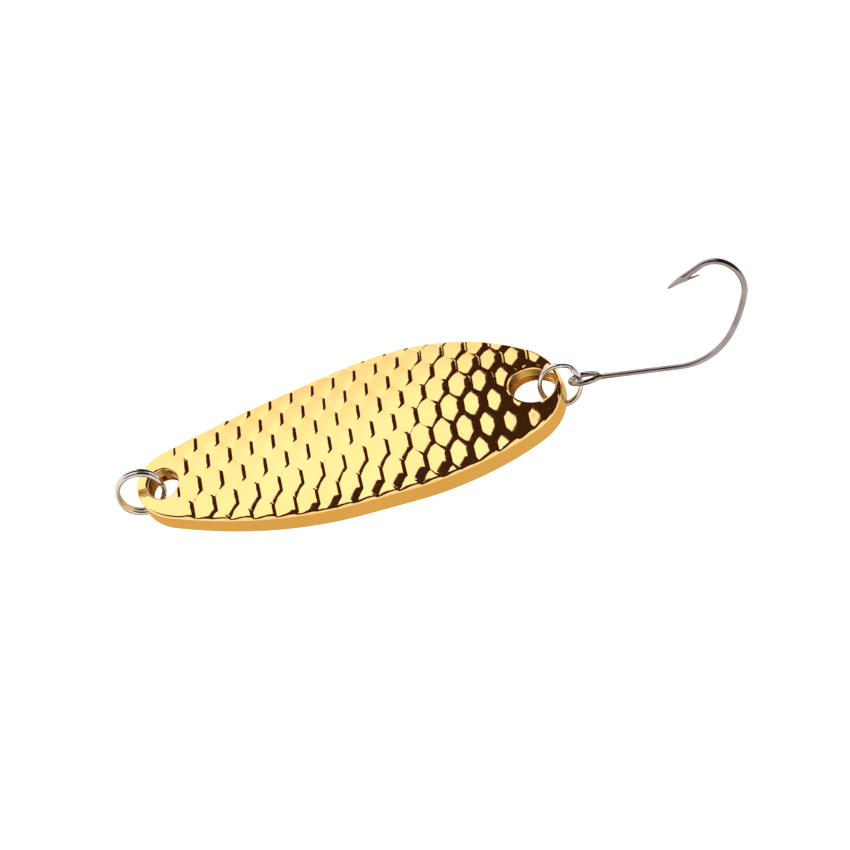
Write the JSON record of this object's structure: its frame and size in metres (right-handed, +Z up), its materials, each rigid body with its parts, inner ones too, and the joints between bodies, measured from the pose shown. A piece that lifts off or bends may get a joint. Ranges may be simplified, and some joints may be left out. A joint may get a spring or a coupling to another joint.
{
  "type": "spoon lure",
  "caption": "Domed, scale-patterned casting spoon with a split ring at each end and a single barbed hook.",
  "frame": {"origin": "on the floor under the middle of the footprint", "axes": "+X from the line end to the tail, +Y across the blade, +Z up from the blade's domed top face"},
  "size_m": [0.0592, 0.0164, 0.0097],
  "materials": {
    "gold_plate": "polished gold plate",
    "ring_steel": "bright polished stainless wire",
    "hook_nickel": "dark nickel plate"
  },
  "bodies": {
    "blade": {"spoon_blade": "gold_plate"},
    "front_ring": {"front_split_ring": "ring_steel"},
    "rear_ring": {"rear_split_ring": "ring_steel"},
    "hook": {"hook": "hook_nickel"}
  },
  "joints": [
    {"name": "front_ring_turn", "type": "hinge", "parent": "blade", "child": "front_ring", "pos_m": [-0.02733, 0.00009, 0.00571], "axis": [0, -0.9681, 0.2504], "continuous": true},
    {"name": "rear_ring_turn", "type": "hinge", "parent": "blade", "child": "rear_ring", "pos_m": [0.01084, 0.0001, 0.00186], "axis": [0, -0.866, 0.5], "range_deg": [-25, 35]},
    {"name": "hook_swing", "type": "hinge", "parent": "rear_ring", "child": "hook", "pos_m": [0.01264, 0.00005, 0.00177], "axis": [0.0593, 0.4991, 0.8645], "range_deg": [-70, 70]}
  ]
}
